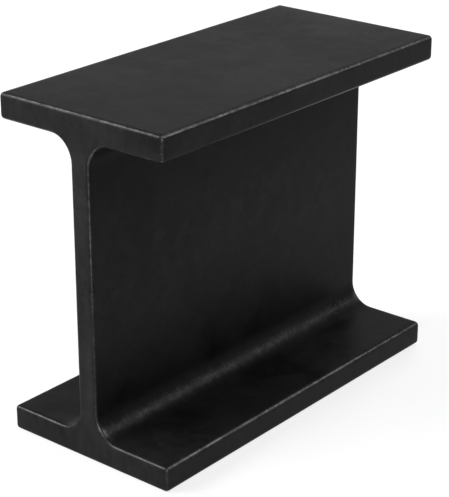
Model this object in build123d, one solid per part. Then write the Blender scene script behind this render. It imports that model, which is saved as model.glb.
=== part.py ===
from build123d import *
import os

# A short stub of hot-rolled steel I-beam, one piece, in millimetres.
# The beam runs along Y and stands on its lower flange, with Z up.
# The origin is at the middle of the lower flange's underside.

# The section, as a section table gives it
section_depth = 200.0
flange_width = 115.0
flange_thickness = 15.0
web_thickness = 13.0
root_radius = 14.0  # the hollow that the rolls leave between web and flange
toe_radius = 2.6  # the rounded edges of each flange tip

# The cut stub
stub_length = 240.0
end_rounding = 2.2  # the sawn ends' edges, dressed and worn round

# What the sizes above leave room for
flange_overhang = (flange_width - web_thickness) / 2
clear_height = section_depth - 2 * flange_thickness
fillet_room = 0.9  # the most of its wall that a rounding may take


def rounding(radius, *walls):
    """The radius, or less where the walls beside it are too short for it."""
    return min(radius, *[fillet_room * wall for wall in walls])


def off_centre(corner):
    """How far a corner of the section stands from its upright centre line."""
    return round(abs(corner.X), 4)


def rolled_section():
    """The section in the XZ plane: two equal parallel flanges on a web."""
    toe = rounding(toe_radius, flange_thickness / 2, flange_overhang / 2)
    root = rounding(root_radius, flange_overhang - toe, clear_height / 2)
    flange_heights = [flange_thickness / 2, section_depth - flange_thickness / 2]
    with BuildSketch(Plane.XZ) as section:
        with Locations([(0, height) for height in flange_heights]):
            Rectangle(flange_width, flange_thickness)
        with Locations((0, section_depth / 2)):
            Rectangle(web_thickness, clear_height)
        fillet(section.vertices().group_by(off_centre)[0], root)
        fillet(section.vertices().group_by(off_centre)[-1], toe)
    return section.sketch


def cut_stub():
    """The section run to the stub's length, with the edges of both sawn ends rounded."""
    toe = rounding(toe_radius, flange_thickness / 2, flange_overhang / 2)
    with BuildPart() as stub:
        extrude(rolled_section(), amount=stub_length / 2, both=True)
        ends = stub.faces().filter_by(Axis.Y)
        fillet(ends.edges(), rounding(end_rounding, toe, web_thickness / 2, stub_length / 2))
    return stub.part


os.makedirs("parts", exist_ok=True)
export_step(cut_stub(), "parts/i_beam.step")
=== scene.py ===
import math

import bmesh
import bpy
from mathutils import Matrix, Vector, kdtree, noise


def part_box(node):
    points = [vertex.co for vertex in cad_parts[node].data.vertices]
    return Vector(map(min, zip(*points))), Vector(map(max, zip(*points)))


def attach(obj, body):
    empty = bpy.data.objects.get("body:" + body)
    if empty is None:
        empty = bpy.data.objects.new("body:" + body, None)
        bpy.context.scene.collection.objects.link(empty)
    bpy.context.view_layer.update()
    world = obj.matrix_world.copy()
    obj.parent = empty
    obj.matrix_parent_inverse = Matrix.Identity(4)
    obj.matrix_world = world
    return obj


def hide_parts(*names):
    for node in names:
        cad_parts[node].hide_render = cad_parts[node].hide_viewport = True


# A short stub of dark rolled steel I-beam on a pale studio floor, in metres.

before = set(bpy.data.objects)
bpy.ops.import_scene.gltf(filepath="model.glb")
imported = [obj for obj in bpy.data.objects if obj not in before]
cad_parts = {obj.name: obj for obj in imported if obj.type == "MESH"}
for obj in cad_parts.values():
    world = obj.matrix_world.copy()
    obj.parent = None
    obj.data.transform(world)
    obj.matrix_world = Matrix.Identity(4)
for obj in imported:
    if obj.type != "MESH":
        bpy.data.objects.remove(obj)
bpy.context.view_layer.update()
low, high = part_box("i_beam")

# The section and the cut length, as the construction has them
flange_width = high[0] - low[0]
stub_length = high[1] - low[1]
section_depth = high[2] - low[2]
flange_thickness = 0.015
web_thickness = 0.013
root_radius = 0.014
toe_radius = 0.0026
end_rounding = 0.0022

# How finely the steel's skin is divided
cell = 0.0025
toe_steps = 8
root_steps = 10
end_steps = 8
flange_rows = 6


def quarter_turn(steps):
    """Angles from 0 to 90 degrees."""
    return [math.pi / 2 * step / steps for step in range(steps + 1)]


def evenly(start, stop, count):
    """Values from start to stop in count equal steps, both ends included."""
    return [start + (stop - start) * step / count for step in range(count + 1)]


def cells_over(span):
    """How many cells of about the usual size fill a span."""
    return max(1, round(span / cell))


overhang_cells = cells_over((flange_width - web_thickness) / 2 - toe_radius - root_radius)
core_cells = cells_over(web_thickness)
web_rows = cells_over(section_depth - 2 * (flange_thickness + root_radius))
first_core = toe_steps + overhang_cells + root_steps
station_count = 2 * first_core + core_cells + 1
flange_points = station_count * (flange_rows + 1)


def flange_stations(inset):
    """Across the lower flange from toe to toe: x, and how high its underside and its top are there."""
    tip = flange_width / 2 - inset
    toe = toe_radius - inset
    hollow = root_radius + inset
    root_x = web_thickness / 2 + root_radius
    half = []
    for turn in quarter_turn(toe_steps):
        rise = toe - toe * math.sin(turn) + inset
        half.append((tip - toe + toe * math.cos(turn), rise, flange_thickness - rise))
    for x in evenly(tip - toe, root_x, overhang_cells)[1:]:
        half.append((x, inset, flange_thickness - inset))
    for turn in quarter_turn(root_steps)[1:]:
        top = flange_thickness + root_radius - hollow * math.cos(turn)
        half.append((root_x - hollow * math.sin(turn), inset, top))
    core_edge, bottom, top = half[-1]
    core = [(x, bottom, top) for x in evenly(core_edge, -core_edge, core_cells)[1:-1]]
    return half + core + [(-x, bottom, top) for x, bottom, top in reversed(half)]


def section_points(inset):
    """The section's grid points (x, z): lower flange, upper flange, web, all drawn in by inset."""
    stations = flange_stations(inset)
    lower = [(x, z) for x, bottom, top in stations for z in evenly(bottom, top, flange_rows)]
    upper = [(x, section_depth - z) for x, z in lower]
    web = []
    for x, bottom, top in stations[first_core:first_core + core_cells + 1]:
        web += [(x, z) for z in evenly(top, section_depth - top, web_rows)[1:-1]]
    return lower + upper + web


def flange_point(station, row, upper):
    """The number of a grid point in a flange."""
    return (flange_points if upper else 0) + station * (flange_rows + 1) + row


def web_point(column, row):
    """The number of a grid point in the web, whose first and last rows are the flanges' own points."""
    if row in (0, web_rows):
        return flange_point(first_core + column, flange_rows, row == web_rows)
    return 2 * flange_points + column * (web_rows - 1) + row - 1


def square_cells(columns, rows, point):
    """The cells of a grid of points, each as four point numbers in order round it."""
    return [(point(a, b), point(a + 1, b), point(a + 1, b + 1), point(a, b + 1))
            for a in range(columns) for b in range(rows)]


def section_cells():
    """The cells that fill the section."""
    lower = square_cells(station_count - 1, flange_rows, lambda a, b: flange_point(a, b, False))
    upper = square_cells(station_count - 1, flange_rows, lambda a, b: flange_point(a, b, True))
    return lower + upper + square_cells(core_cells, web_rows, web_point)


def outline_of(cells):
    """The edges that only one cell has, which run round the section."""
    seen = {}
    for corners in cells:
        for a, b in zip(corners, corners[1:] + corners[:1]):
            seen.setdefault(frozenset((a, b)), []).append((a, b))
    return [uses[0] for uses in seen.values() if len(uses) == 1]


def rings():
    """Along the beam: y, and how far the rounding of the sawn ends draws the section in there."""
    end = [(end_rounding * (1 - math.cos(turn)), end_rounding * (1 - math.sin(turn)))
           for turn in quarter_turn(end_steps)]
    straight = stub_length - 2 * end_rounding
    middle = evenly(end_rounding, stub_length - end_rounding, cells_over(straight))[1:-1]
    near = end + [(y, 0.0) for y in middle]
    far = [(stub_length - y, inset) for y, inset in reversed(end)]
    return [(low[1] + y, inset) for y, inset in near + far]


def beam_mesh():
    """The rolled skin run from end to end, and the section's own cells closing both ends."""
    cells = section_cells()
    outline = outline_of(cells)
    outline_points = sorted({point for edge in outline for point in edge})
    stations = rings()
    vertices = []
    rounds = []
    for number, (y, inset) in enumerate(stations):
        points = section_points(inset)
        wanted = range(len(points)) if number in (0, len(stations) - 1) else outline_points
        rounds.append({point: len(vertices) + order for order, point in enumerate(wanted)})
        vertices += [(points[point][0], y, low[2] + points[point][1]) for point in wanted]
    faces = [[rounds[end][point] for point in corners] for end in (0, -1) for corners in cells]
    for near, far in zip(rounds, rounds[1:]):
        faces += [(near[a], near[b], far[b], far[a]) for a, b in outline]
    mesh = bpy.data.meshes.new("i_beam_skin")
    mesh.from_pydata(vertices, [], faces)
    return mesh


def face_outwards(mesh):
    """Turns every face of the closed skin outwards and shades it smooth."""
    skin = bmesh.new()
    skin.from_mesh(mesh)
    bmesh.ops.recalc_face_normals(skin, faces=skin.faces)
    for face in skin.faces:
        face.smooth = True
    skin.to_mesh(mesh)
    skin.free()


# Where an edge is rubbed bare: how its normal leans where it is rubbed most, and how sharply that fades
toe_crest = 0.2
toe_sharpness = 2.5
end_crest = 0.293
end_sharpness = 6
over_toe_sharpness = 1.0  # softer where an edge turns over onto the upper flange's top
over_end_sharpness = 1.6
crest_lean = 0.9  # lean of the points from which scuffing spreads
scuff_reach = 0.012
long_edge_turn = 0.1  # a normal turned less than this towards the ends is on a long edge or face
end_face_turn = 0.9  # and one turned more than this is on a sawn end

# How bare each kind of edge is rubbed, as a share
under_share = 0.6  # long edges that face down, as a thin line
lower_toe_share = 0.76  # the lower flange's long edges and corners, against the upper one's
end_share = 0.76  # edges of the sawn ends, in the upper half
lower_end_share = 0.34  # and in the lower half
under_end_share = 1.3  # and where they face down, as broadly as a toe
corner_share = 0.24  # upright corners of the flanges, softly over the whole rounding
upright_share = 0.6  # other upright edges, as a thin line
upright_haze = 0.15  # and over their whole rounding

# Relief that the rolls and wear leave
roll_depth = 0.00008
roll_pitch = 0.035
loss_depth = 0.00022  # metal lost along the edges
loss_pitch = 0.007
loss_offset = 5.0  # each pattern is taken from its own place in the noise
nick_depth = 0.00035
nick_pitch = 0.016
nick_offset = 11.0
nick_rarity = 0.45

painted_shade_reach = 0.085  # how far up the web the painted shade at the root fillets fades out
slack = 0.0001


def lean(normal, crest):
    """0 on a face square to an axis, 1 where a rounding leans off the axes as far as its crest does."""
    return min(1.0, (1 - max(abs(part) for part in normal)) / crest)


def rubbing(place, normal):
    """How bare an edge is rubbed: a thin line on the sawn ends, broader on toes and flange corners."""
    broad = lean(normal, toe_crest)
    upper = place.z > section_depth / 2
    level_share = 1.0 if upper else lower_toe_share
    over = upper and normal.z > math.hypot(normal.x, normal.y)
    line = lean(normal, end_crest) ** (over_end_sharpness if over else end_sharpness)
    if abs(normal.y) < long_edge_turn:
        if normal.z < 0:
            return line * under_share
        return broad ** (over_toe_sharpness if over else toe_sharpness) * level_share
    downward = min(1.0, max(0.0, -normal.z) * math.sqrt(2))
    thin = line * (end_share if upper else lower_end_share)
    thin += (broad ** toe_sharpness * under_end_share - thin) * downward
    upright = max(0.0, 1 - 2 * normal.z ** 2)
    if abs(place.x) > flange_width / 2 - 2 * toe_radius:
        soft = broad * corner_share * level_share
    else:
        soft = thin * upright_share + broad * upright_haze
    return thin + (soft - thin) * upright


def from_flange(place):
    """How far a point lies from the nearer flange's inner face, towards the middle of the web."""
    return min(place.z - low[2], high[2] - place.z) - flange_thickness


def from_web(place):
    """How far a point lies out from the web's face."""
    return abs(place.x) - web_thickness / 2


def in_hollow(place):
    """Whether a point is in one of the four root fillets, clear of the ends."""
    gaps = (from_flange(place), from_web(place))
    inside = all(-slack < gap < root_radius + slack for gap in gaps)
    return inside and abs(place.y) < stub_length / 2 - end_rounding


def soiling(place, normal):
    """How much painted shade darkens the web: most at the root fillets, fading out from there."""
    height = from_flange(place)
    if height < -slack or from_web(place) > root_radius + slack:
        return 0.0
    return max(0.0, 1 - height / painted_shade_reach) * abs(normal.x)


def nearness(places, targets, reach):
    """1 at a target, fading to 0 at the reach from the nearest one."""
    tree = kdtree.KDTree(len(targets))
    for number, place in enumerate(targets):
        tree.insert(place, number)
    tree.balance()
    return [max(0.0, 1 - tree.find(place)[2] / reach) for place in places]


def mark_wear(mesh):
    """Stores for the finish what has worn each point, and where shade is painted. Gives how rubbed the
    edges are.
    """
    places = [vertex.co.copy() for vertex in mesh.vertices]
    normals = [vertex.normal.copy() for vertex in mesh.vertices]
    points = [(place, normal, in_hollow(place)) for place, normal in zip(places, normals)]
    edges = [0.0 if hollow else rubbing(place, normal) for place, normal, hollow in points]
    crests = [place for place, normal, hollow in points
              if not hollow and lean(normal, toe_crest) > crest_lean]
    roots = [lean(normal, toe_crest) ** toe_sharpness if hollow and normal.z > 0 else 0.0
             for place, normal, hollow in points]
    sawn = [float(abs(normal.y) > end_face_turn) for normal in normals]
    clear = [min(1.0, max(0.0, from_flange(place) / root_radius)) for place in places]
    marks = {
        "edge": edges,
        "near_edge": nearness(places, crests, scuff_reach),
        "root": roots,
        # painted shade, darkest on the web at the root fillets
        "painted_corner_shade": [soiling(place, normal) for place, normal in zip(places, normals)],
        "sawn": sawn,
        "web_cut": [cut * share for cut, share in zip(sawn, clear)],
    }
    for name, values in marks.items():
        mesh.attributes.new(name, "FLOAT", "POINT").data.foreach_set("value", values)
    return edges


def noise_at(place, pitch, offset=0.0):
    """Smooth noise from -1 to 1 with features of about the pitch."""
    return noise.noise(Vector(place) / pitch + Vector((offset, offset, offset)))


def wear_down(mesh, edges):
    """Sinks the skin a little under its true surface: rolling waves, rubbed edges and small nicks."""
    sunk = []
    for vertex, edge in zip(mesh.vertices, edges):
        depth = roll_depth * (0.5 + 0.5 * noise_at(vertex.co, roll_pitch))
        depth += edge * loss_depth * (0.5 + 0.5 * noise_at(vertex.co, loss_pitch, loss_offset))
        above = noise_at(vertex.co, nick_pitch, nick_offset) - nick_rarity
        depth += edge * nick_depth * (max(0.0, above) / (1 - nick_rarity))
        sunk.append(vertex.co - vertex.normal * depth)
    for vertex, place in zip(mesh.vertices, sunk):
        vertex.co = place


def make_beam():
    """The worn skin, in the place of the construction's solid."""
    mesh = beam_mesh()
    face_outwards(mesh)
    wear_down(mesh, mark_wear(mesh))
    beam = bpy.data.objects.new("rolled_beam", mesh)
    bpy.context.scene.collection.objects.link(beam)
    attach(beam, "root")
    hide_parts("i_beam")
    return beam


class Finish:
    """A node tree, emptied, with a short way to add and join nodes."""

    def __init__(self, owner):
        owner.use_nodes = True
        self.owner = owner
        self.tree = owner.node_tree
        self.tree.nodes.clear()

    def put(self, node, name, value):
        """Joins another node's output to a socket, or sets it. A digit is the socket's number."""
        socket = node.inputs[int(name)] if name.isdigit() else node.inputs[name]
        if isinstance(value, bpy.types.NodeSocket):
            self.tree.links.new(value, socket)
        else:
            socket.default_value = value

    def node(self, kind, settings=None, **inputs):
        """A new node. An underscore in a socket's name stands for a space."""
        made = self.tree.nodes.new(kind)
        for name, value in (settings or {}).items():
            setattr(made, name, value)
        for name, value in inputs.items():
            self.put(made, name.replace("_", " "), value)
        return made

    def noise(self, place, scale, detail=3.0, roughness=0.5, distortion=0.0):
        made = self.node("ShaderNodeTexNoise", Vector=place, Scale=scale, Detail=detail,
                         Roughness=roughness, Distortion=distortion)
        return made.outputs["Fac"]

    def spread(self, value, low_in, high_in, low_out=0.0, high_out=1.0):
        """Takes a range of values smoothly to another range, and stops at its ends."""
        made = self.node("ShaderNodeMapRange", {"interpolation_type": "SMOOTHSTEP"})
        for name, number in (("Value", value), ("From Min", low_in), ("From Max", high_in),
                             ("To Min", low_out), ("To Max", high_out)):
            self.put(made, name, number)
        return made.outputs["Result"]

    def combine(self, operation, first, second):
        """Two numbers multiplied, added or otherwise combined."""
        made = self.node("ShaderNodeMath", {"operation": operation})
        self.put(made, "0", first)
        self.put(made, "1", second)
        return made.outputs["Value"]

    def times(self, first, second):
        return self.combine("MULTIPLY", first, second)

    def plus(self, first, second):
        return self.combine("ADD", first, second)

    def larger(self, first, second):
        return self.combine("MAXIMUM", first, second)

    def scaled(self, vector, operation, second, amount):
        """A vector, multiplied by another or by a number, which goes to the socket named second."""
        made = self.node("ShaderNodeVectorMath", {"operation": operation})
        self.put(made, "0", vector)
        self.put(made, second, amount)
        return made.outputs["Vector"]

    def blend(self, amount, first, second):
        """A mix of two colours. Sockets 0, 6 and 7 are the amount and the colours."""
        made = self.node("ShaderNodeMix", {"data_type": "RGBA"})
        for number, value in ((0, amount), (6, first), (7, second)):
            self.put(made, str(number), value)
        return made.outputs[2]

    def attribute(self, name):
        return self.node("ShaderNodeAttribute", {"attribute_name": name}).outputs["Fac"]

    def output(self, shader):
        self.node("ShaderNodeOutputMaterial", Surface=shader)


def grey(value, warmth=0.0):
    """An opaque grey in linear light, warmer or cooler by a share of itself."""
    return (value * (1 + warmth), value, value * (1 - warmth), 1.0)


# The steel's colours in linear light
mill_dark = grey(0.0134, -0.01)
mill_plain = grey(0.0204)
mill_rubbed = grey(0.0245, 0.01)
bare_steel = grey(0.19, 0.01)

# The steel's patterns from coarse to fine: scale, detail, roughness and distortion
cloud_noise = (22.0, 4.0, 0.55, 0.4)
stain_noise = (75.0, 4.0, 0.6, 0.3)
smudge_noise = (170.0, 3.0, 0.55, 0.2)
streak_noise = (190.0, 3.0, 0.5)
grain_noise = (650.0, 2.0, 0.6)
streak_stretch = (1.0, 1.0, 0.25)  # saw streaks are four times as long upwards as across

# The part of a noise that is spread out to a whole range
usual = (0.35, 0.65)
gentle = (0.3, 0.7)
cloud_part = (0.38, 0.62)
rubbed_part = (0.45, 0.7)
scuffed_part = (0.5, 0.75)
whole = (0.0, 1.0)

# What the patterns and marks do to the mill surface's colour
rub_share = 0.7
smudge_shade = (0.92, 1.08)
streak_shade = (-0.12, 0.12)
grain_shade = (0.95, 1.05)
# the factor of painted shade on the web by the root fillets
painted_shade_factor = (1.0, 0.5)
web_cut_shade = (1.0, 1.3)

# How bare the edges and the root fillets are, and how unevenly
edge_bareness = (0.42, 0.68)
root_bareness = (0.05, 0.15)
unevenness = (0.7, 1.3)
mill_metal = 0.4  # how metallic the mill surface is
all_metal = 0.5  # bareness from which the surface is all metal

# How rough the surface is, and how rubbing polishes it
cloud_roughness = (0.39, 0.498)
stain_roughness = (-0.03, 0.03)
grain_roughness = (-0.03, 0.03)
edge_polish = 0.15
edge_polish_power = 0.3
root_polish = 0.12

# Relief too fine for the skin, and the mill surface's dull gloss
bump_strength = 0.3
grain_relief = 0.00016
stain_relief = 0.0002
gloss_level = 0.08
gloss_tint = 0.6


def steel_patterns(finish):
    """The steel's noises and the marks stored on its skin, by name."""
    place = finish.node("ShaderNodeTexCoord").outputs["Object"]
    patterns = {
        "cloud": finish.noise(place, *cloud_noise),
        "stain": finish.noise(place, *stain_noise),
        "smudge": finish.noise(place, *smudge_noise),
        "streak": finish.noise(finish.scaled(place, "MULTIPLY", "1", streak_stretch), *streak_noise),
        "grain": finish.noise(place, *grain_noise),
    }
    for name in ("edge", "near_edge", "root", "painted_corner_shade", "sawn", "web_cut"):
        patterns[name] = finish.attribute(name)
    return patterns


def mill_surface(finish, skin):
    """Clouded dark grey, paler where rubbed and near edges, darker with painted shade by the root
    fillets, streaked if sawn.
    """
    clouded = finish.blend(finish.spread(skin["cloud"], *cloud_part), mill_dark, mill_plain)
    rub = finish.times(finish.spread(skin["stain"], *rubbed_part), rub_share)
    scuff = finish.times(skin["near_edge"], finish.spread(skin["grain"], *scuffed_part))
    colour = finish.blend(finish.larger(rub, scuff), clouded, mill_rubbed)
    smudged = finish.spread(skin["smudge"], *usual, *smudge_shade)
    streaked = finish.times(skin["sawn"], finish.spread(skin["streak"], *usual, *streak_shade))
    mottled = finish.plus(smudged, streaked)
    # painted shade: the web's colour darkened towards the root fillets
    with_painted_shade = finish.times(mottled, finish.spread(skin["painted_corner_shade"], *whole, *painted_shade_factor))
    cut = finish.times(with_painted_shade, finish.spread(skin["web_cut"], *whole, *web_cut_shade))
    shade = finish.times(cut, finish.spread(skin["grain"], *gentle, *grain_shade))
    return finish.scaled(colour, "SCALE", "Scale", shade)


def bareness(finish, skin):
    """How bare the metal is along the edges and in the root fillets."""
    crest = finish.times(skin["edge"], finish.spread(skin["grain"], *usual, *edge_bareness))
    burnish = finish.times(skin["root"], finish.spread(skin["grain"], *usual, *root_bareness))
    uneven = finish.spread(skin["smudge"], *usual, *unevenness)
    return finish.times(finish.plus(crest, burnish), uneven)


def steel_roughness(finish, skin):
    """Clouded and grained, and smoother where it is rubbed."""
    clouded = finish.spread(skin["cloud"], *usual, *cloud_roughness)
    stained = finish.plus(clouded, finish.spread(skin["stain"], *usual, *stain_roughness))
    grained = finish.plus(stained, finish.spread(skin["grain"], *gentle, *grain_roughness))
    rounded = finish.times(finish.combine("POWER", skin["edge"], edge_polish_power), edge_polish)
    polish = finish.larger(rounded, finish.times(skin["root"], root_polish))
    return finish.combine("SUBTRACT", grained, polish)


def steel_finish():
    """Dark mill surface: clouded and grained, rubbed pale near the edges and bare along them."""
    finish = Finish(bpy.data.materials.new("dark_mill_steel"))
    skin = steel_patterns(finish)
    bare = bareness(finish, skin)
    fine = finish.node("ShaderNodeBump", Strength=bump_strength, Distance=grain_relief,
                       Height=skin["grain"])
    broad = finish.node("ShaderNodeBump", Strength=bump_strength, Distance=stain_relief,
                        Height=skin["stain"], Normal=fine.outputs["Normal"])
    shader = finish.node("ShaderNodeBsdfPrincipled",
                         Base_Color=finish.blend(bare, mill_surface(finish, skin), bare_steel),
                         Metallic=finish.spread(bare, 0.0, all_metal, mill_metal, 1.0),
                         Roughness=steel_roughness(finish, skin),
                         Specular_IOR_Level=gloss_level, Specular_Tint=grey(gloss_tint),
                         Normal=broad.outputs["Normal"])
    finish.output(shader.outputs["BSDF"])
    return finish.owner


# The floor
floor_size = 14.0
floor_albedo = 0.3

# How bright the surroundings are as they are seen, also by reflection or through glass
floor_seen = 0.78
wall_seen = 0.84  # low down, as pale as the far floor
ceiling_seen = 0.46
wall_top = 0.08  # upward part of the direction where the wall starts to fade
ceiling_start = 0.38  # and where it has faded into the ceiling

# And how bright they are as a light
floor_glow = 0.0
sky_glow = 0.07


def by_ray(finish, seen, otherwise):
    """A strength that depends on what kind of ray has arrived."""
    rays = finish.node("ShaderNodeLightPath").outputs
    straight = finish.larger(rays["Is Camera Ray"], rays["Is Transmission Ray"])
    shown = finish.larger(straight, rays["Is Glossy Ray"])
    return finish.spread(shown, *whole, otherwise, seen)


def make_floor():
    """A plain pale floor that reads white and keeps the beam's soft shadow."""
    half = floor_size / 2
    corners = [(-half, -half, 0), (half, -half, 0), (half, half, 0), (-half, half, 0)]
    mesh = bpy.data.meshes.new("floor")
    mesh.from_pydata(corners, [], [(0, 1, 2, 3)])
    floor = bpy.data.objects.new("floor", mesh)
    bpy.context.scene.collection.objects.link(floor)
    finish = Finish(bpy.data.materials.new("pale_floor"))
    matt = finish.node("ShaderNodeBsdfDiffuse", Color=grey(floor_albedo))
    strength = by_ray(finish, floor_seen, floor_glow)
    glow = finish.node("ShaderNodeEmission", Color=grey(1.0), Strength=strength)
    both = finish.node("ShaderNodeAddShader")
    finish.put(both, "0", matt.outputs["BSDF"])
    finish.put(both, "1", glow.outputs["Emission"])
    finish.output(both.outputs["Shader"])
    mesh.materials.append(finish.owner)


def make_world():
    """Pale low down and greyer above, as seen and in reflections, and a dim even light otherwise."""
    world = bpy.data.worlds.new("studio")
    bpy.context.scene.world = world
    finish = Finish(world)
    outwards = finish.node("ShaderNodeTexCoord").outputs["Generated"]
    upward = finish.node("ShaderNodeSeparateXYZ", Vector=outwards).outputs["Z"]
    seen = finish.spread(upward, wall_top, ceiling_start, wall_seen, ceiling_seen)
    strength = by_ray(finish, seen, sky_glow)
    sky = finish.node("ShaderNodeBackground", Color=grey(1.0), Strength=strength)
    finish.node("ShaderNodeOutputWorld", Surface=sky.outputs["Background"])


beam_middle = Vector((0, 0, section_depth / 2))


def direction(azimuth, elevation):
    """The way out from the beam: azimuth 0 is in front of the sawn end, 90 at the +X side."""
    turn = math.radians(azimuth)
    tilt = math.radians(elevation)
    return Vector((math.sin(turn) * math.cos(tilt), -math.cos(turn) * math.cos(tilt), math.sin(tilt)))


def softbox(name, azimuth, elevation, distance, size, power, matt=True, gloss=True):
    """A square area light aimed at the beam, for its matt light, its reflections or both."""
    towards = direction(azimuth, elevation)
    light = bpy.data.lights.new(name, "AREA")
    light.shape = "SQUARE"
    light.size = size
    light.energy = power
    lamp = bpy.data.objects.new(name, light)
    lamp.visible_diffuse = matt
    lamp.visible_glossy = gloss
    lamp.location = beam_middle + towards * distance
    lamp.rotation_euler = towards.to_track_quat("Z", "Y").to_euler()
    bpy.context.scene.collection.objects.link(lamp)


def make_lights():
    """A key light from the front left, and weaker ones round the beam for its other sides."""
    softbox("key_light", azimuth=-42.0, elevation=30.0, distance=1.8, size=1.0, power=32.5)
    softbox("overhead", azimuth=80.0, elevation=65.0, distance=1.6, size=1.0, power=6.5)
    softbox("back_right", azimuth=140.0, elevation=35.0, distance=1.4, size=0.5, power=1.8)
    softbox("back_fill", azimuth=205.0, elevation=20.0, distance=3.2, size=1.6, power=72.0,
            gloss=False)
    softbox("front_right", azimuth=56.0, elevation=12.0, distance=1.8, size=1.2, power=27.0,
            matt=False)


# The camera, at the photograph's viewing angle
camera_azimuth = 39.6
camera_elevation = 22.5
camera_distance = 0.983
aim_right = -0.0018  # how far to the right of the beam's middle the camera aims, and how far above it
aim_up = -0.0114
lens = 123.1  # the lens and the sensor in millimetres
sensor = 36.0


def make_camera():
    """A long lens a little above the beam, to the right of its sawn end."""
    back = direction(camera_azimuth, camera_elevation)
    right = Vector((0, 0, 1)).cross(back).normalized()
    up = back.cross(right)
    aim = beam_middle + right * aim_right + up * aim_up
    data = bpy.data.cameras.new("camera")
    data.lens = lens
    data.sensor_width = sensor
    camera = bpy.data.objects.new("camera", data)
    axes = Matrix((right, up, back)).transposed()
    camera.matrix_world = Matrix.Translation(aim + back * camera_distance) @ axes.to_4x4()
    bpy.context.scene.collection.objects.link(camera)
    bpy.context.scene.camera = camera


beam = make_beam()
beam.data.materials.append(steel_finish())
make_floor()
make_world()
make_lights()
make_camera()
bpy.context.scene.view_settings.view_transform = "Standard"
